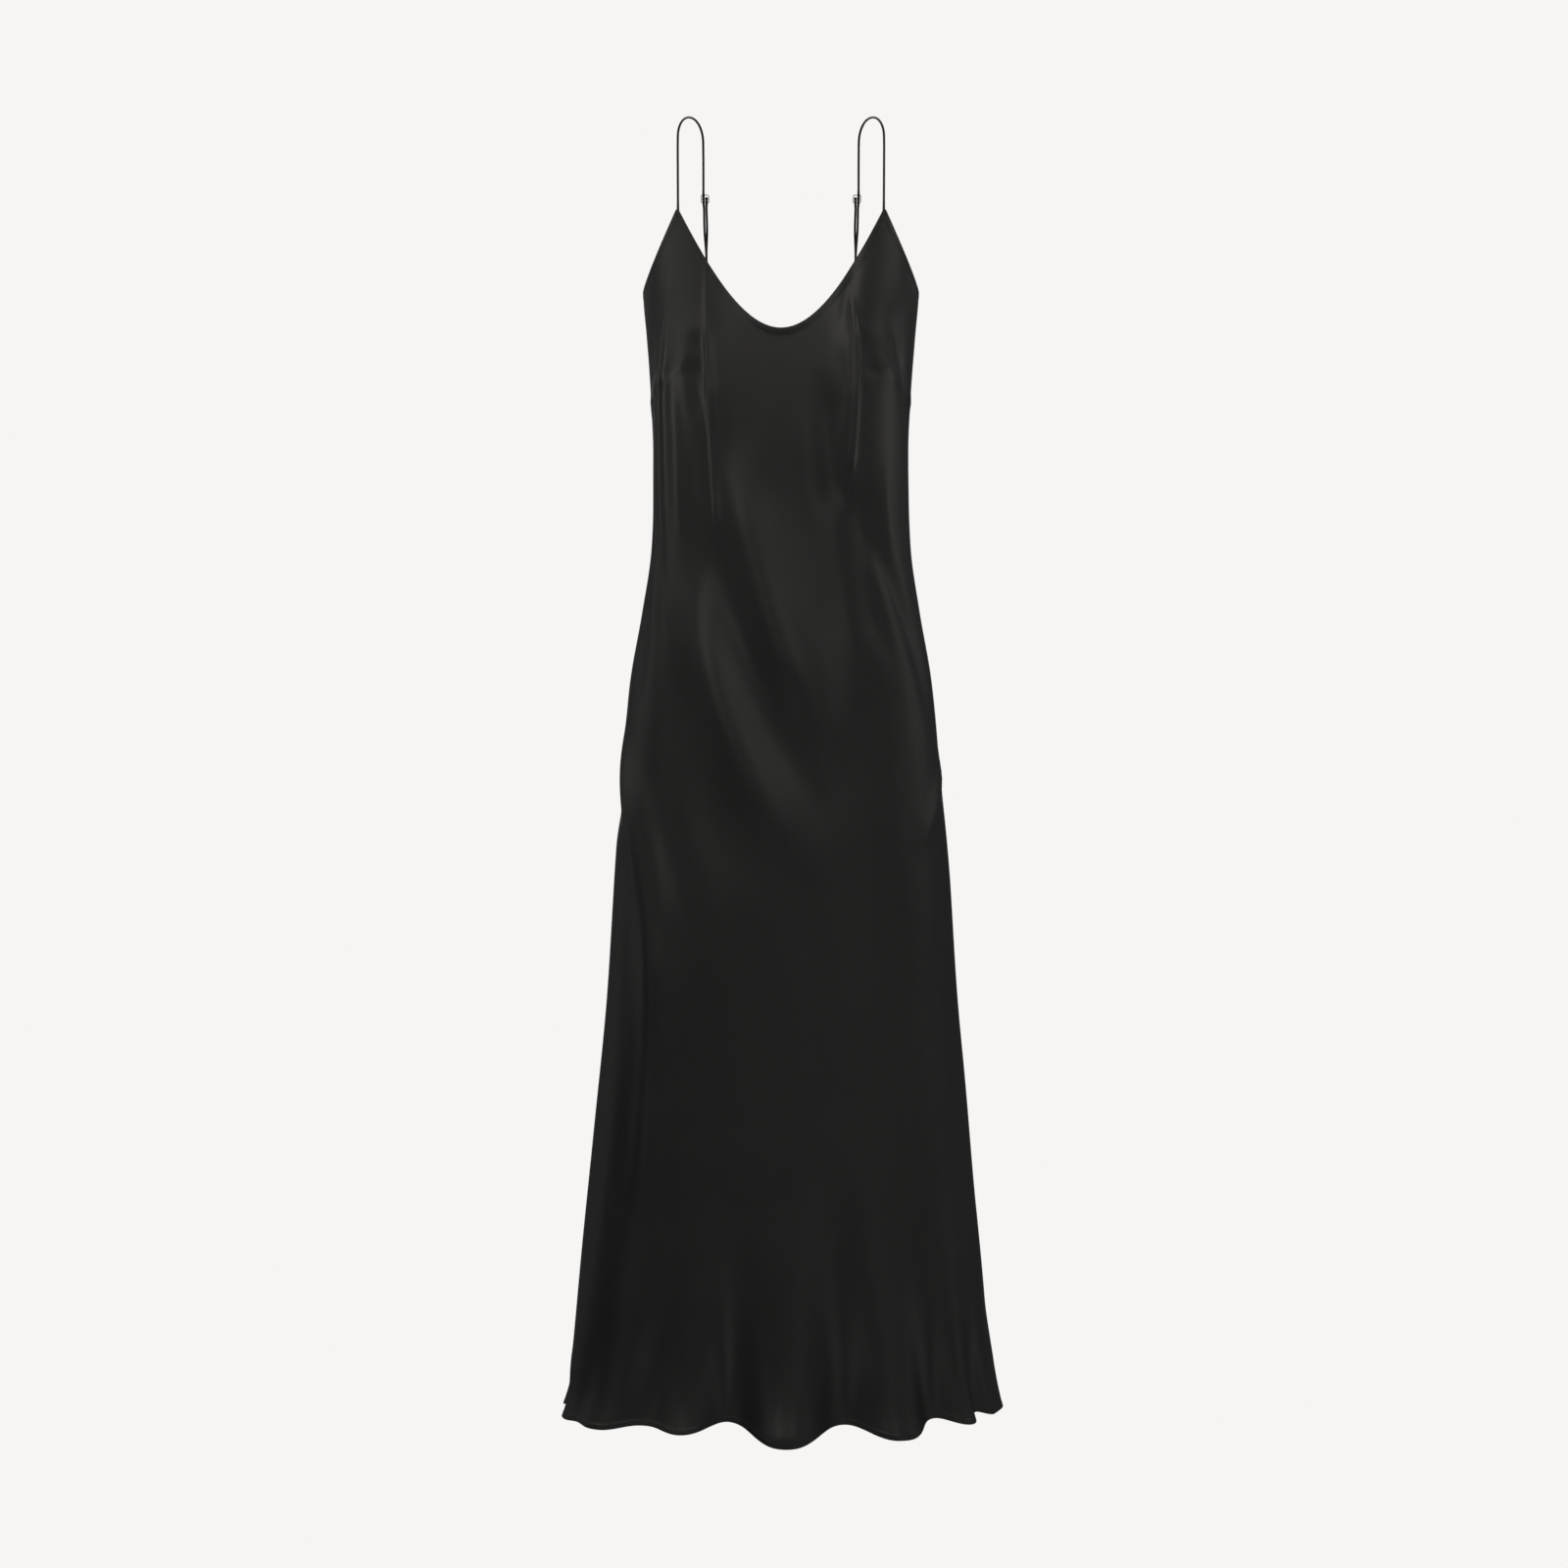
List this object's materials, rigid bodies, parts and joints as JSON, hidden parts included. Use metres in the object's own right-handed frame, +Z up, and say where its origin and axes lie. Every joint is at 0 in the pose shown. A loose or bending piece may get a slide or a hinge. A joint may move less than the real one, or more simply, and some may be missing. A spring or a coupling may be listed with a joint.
{
  "type": "slip dress",
  "caption": "Long bias-cut satin slip dress, open and hollow as worn, with a rounded V neckline, thin adjustable straps, a lower scooped back and a flared hem that hangs in soft flutes.",
  "frame": {"origin": "on the shoulder line, midway between the straps, at the underside of their highest points", "axes": "+Z up, -Y towards the front of the dress, +X to the right of someone who looks at its front"},
  "size_m": [0.4697, 0.3739, 1.3694],
  "materials": {
    "satin": "soft satin sheen",
    "strap_satin": "turned satin tube",
    "hardware": "polished"
  },
  "bodies": {
    "root": {"front_panel": "satin", "back_panel": "satin", "strap_left": "strap_satin", "strap_right": "strap_satin", "tab_left": "strap_satin", "tab_right": "strap_satin", "slider_left": "hardware", "slider_right": "hardware", "ring_left": "hardware", "ring_right": "hardware"}
  },
  "joints": []
}
